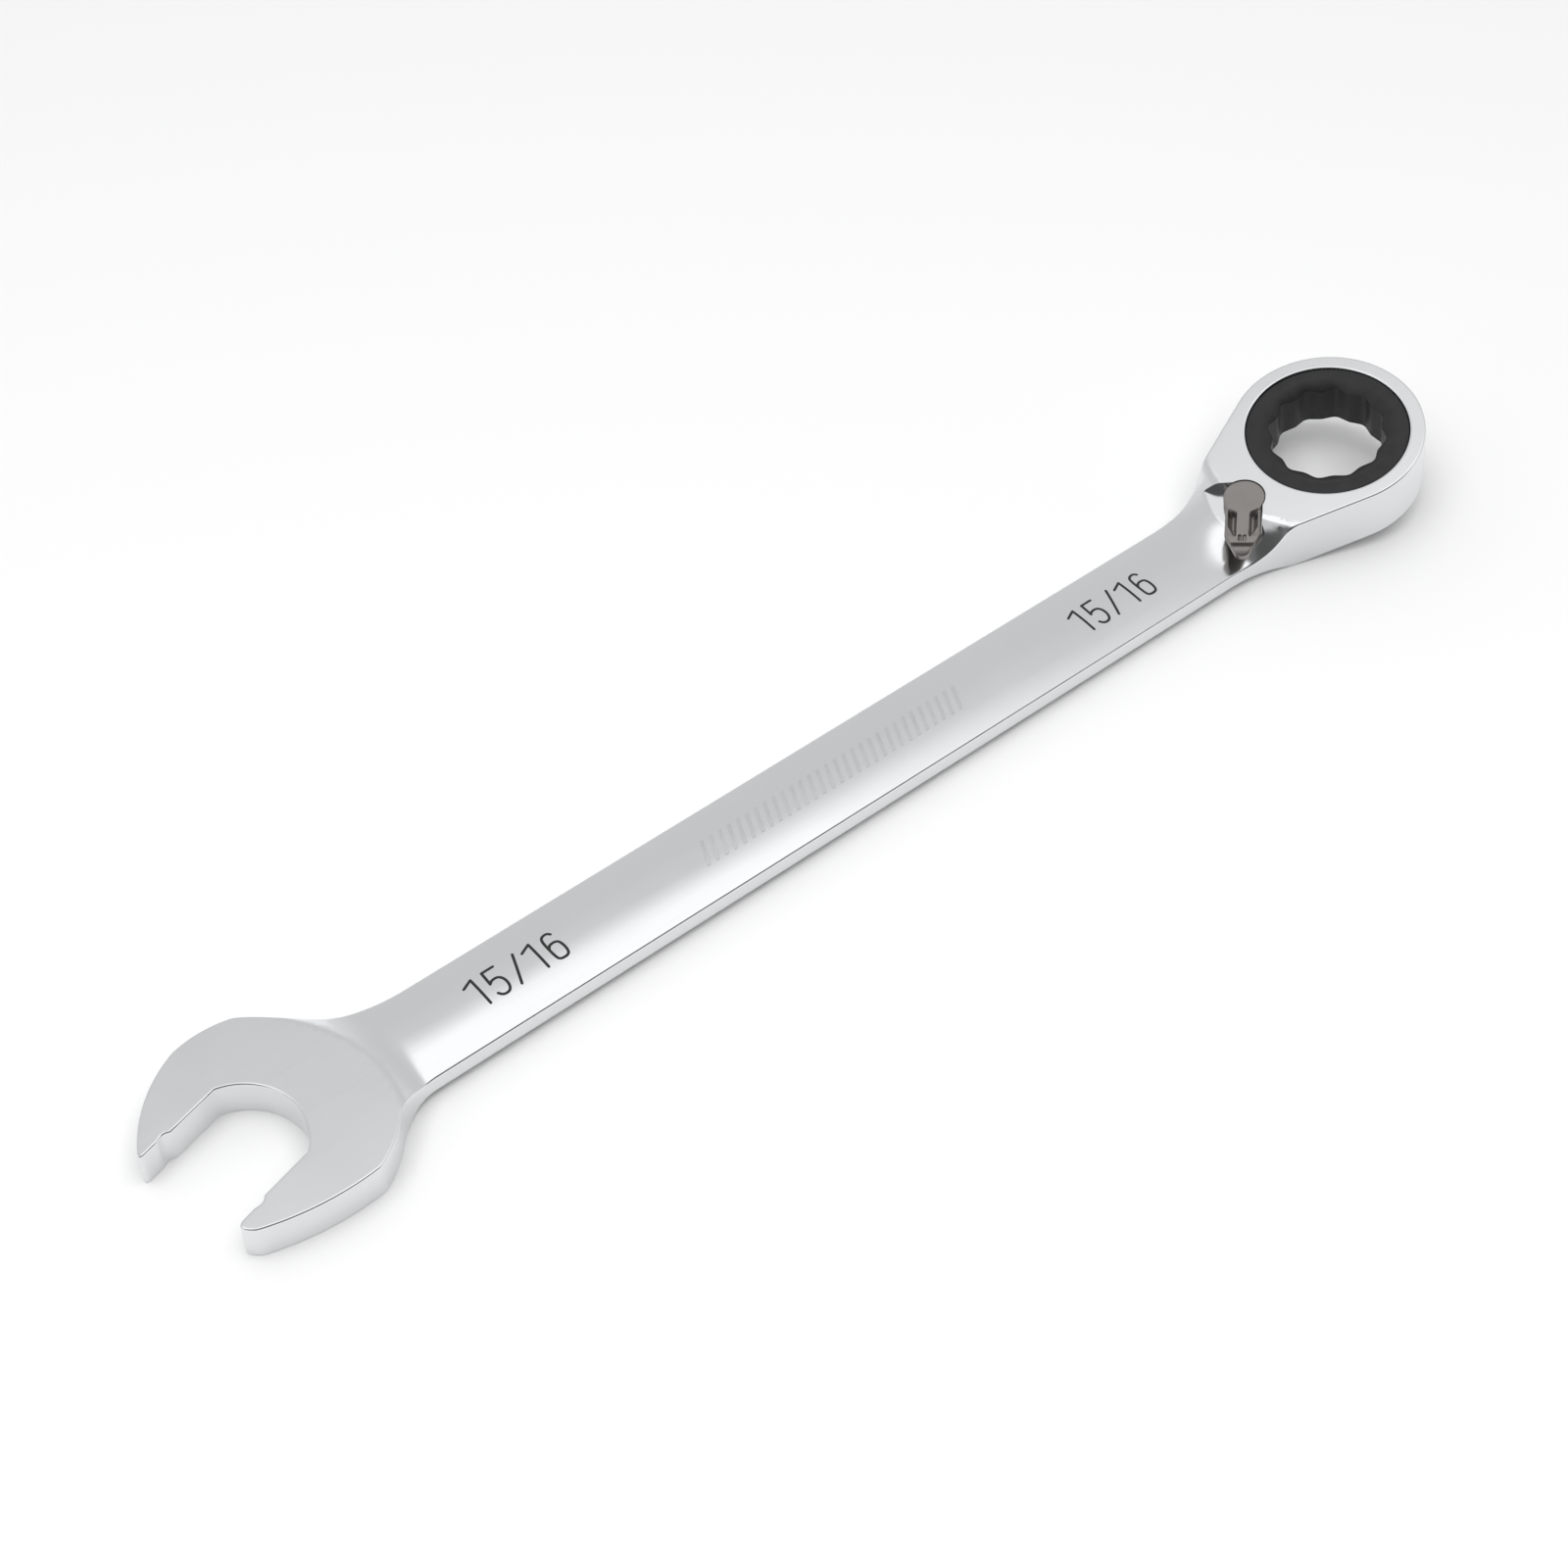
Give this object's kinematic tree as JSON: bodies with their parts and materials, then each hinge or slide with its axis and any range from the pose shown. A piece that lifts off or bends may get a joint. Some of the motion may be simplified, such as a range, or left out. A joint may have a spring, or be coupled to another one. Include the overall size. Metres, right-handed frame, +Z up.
{
  "type": "reversible ratcheting combination wrench",
  "caption": "Chrome combination wrench with an angled open jaw at one end and, at the other, a tilted ratcheting twelve-point ring with a reversing lever",
  "frame": {"origin": "on the floor under the middle of the wrench's box, lying face up on its flat underside", "axes": "+X from the open head to the ring along the shank, +Z up through the thickness"},
  "size_m": [0.3396, 0.0488, 0.024],
  "materials": {
    "chrome": "mirror-polished chrome plate over forged steel",
    "black_oxide": "satin black oxide",
    "gunmetal": "satin grey-brown plated steel",
    "pawl_steel": "ground, hardened",
    "spring_steel": "oiled spring steel",
    "ball_steel": "polished bearing steel"
  },
  "bodies": {
    "wrench": {"wrench_body": "chrome", "gear_snap_ring": "spring_steel", "lever_snap_ring": "spring_steel"},
    "gear": {"drive_gear": "black_oxide"},
    "pawl": {"pawl": "pawl_steel"},
    "lever": {"reversing_lever": "gunmetal", "detent_spring": "spring_steel"},
    "ball": {"detent_ball": "ball_steel"}
  },
  "joints": [
    {"name": "gear_spin", "type": "hinge", "parent": "wrench", "child": "gear", "pos_m": [0.14504, -0.00015, 0.01939], "axis": [-0.2079, 0, 0.9781], "continuous": true},
    {"name": "lever_swing", "type": "hinge", "parent": "wrench", "child": "lever", "pos_m": [0.11873, -0.00015, 0.01379], "axis": [0.2079, 0, -0.9781], "range_deg": [0, 86]},
    {"name": "pawl_shift", "type": "hinge", "parent": "wrench", "child": "pawl", "pos_m": [0.14504, -0.00015, 0.01939], "axis": [-0.2079, 0, 0.9781], "range_deg": [0, 10.01]},
    {"name": "ball_press", "type": "slide", "parent": "lever", "child": "ball", "axis": [-0.7154, -0.682, -0.1521], "range_m": [0, 0.0006], "stiffness_N_per_m": 250, "springref_m": -0.0015, "deforming": ["detent_spring"]}
  ],
  "couplings": [
    {"joint": "pawl_shift", "follows": "lever_swing", "ratio": 0.11628}
  ]
}
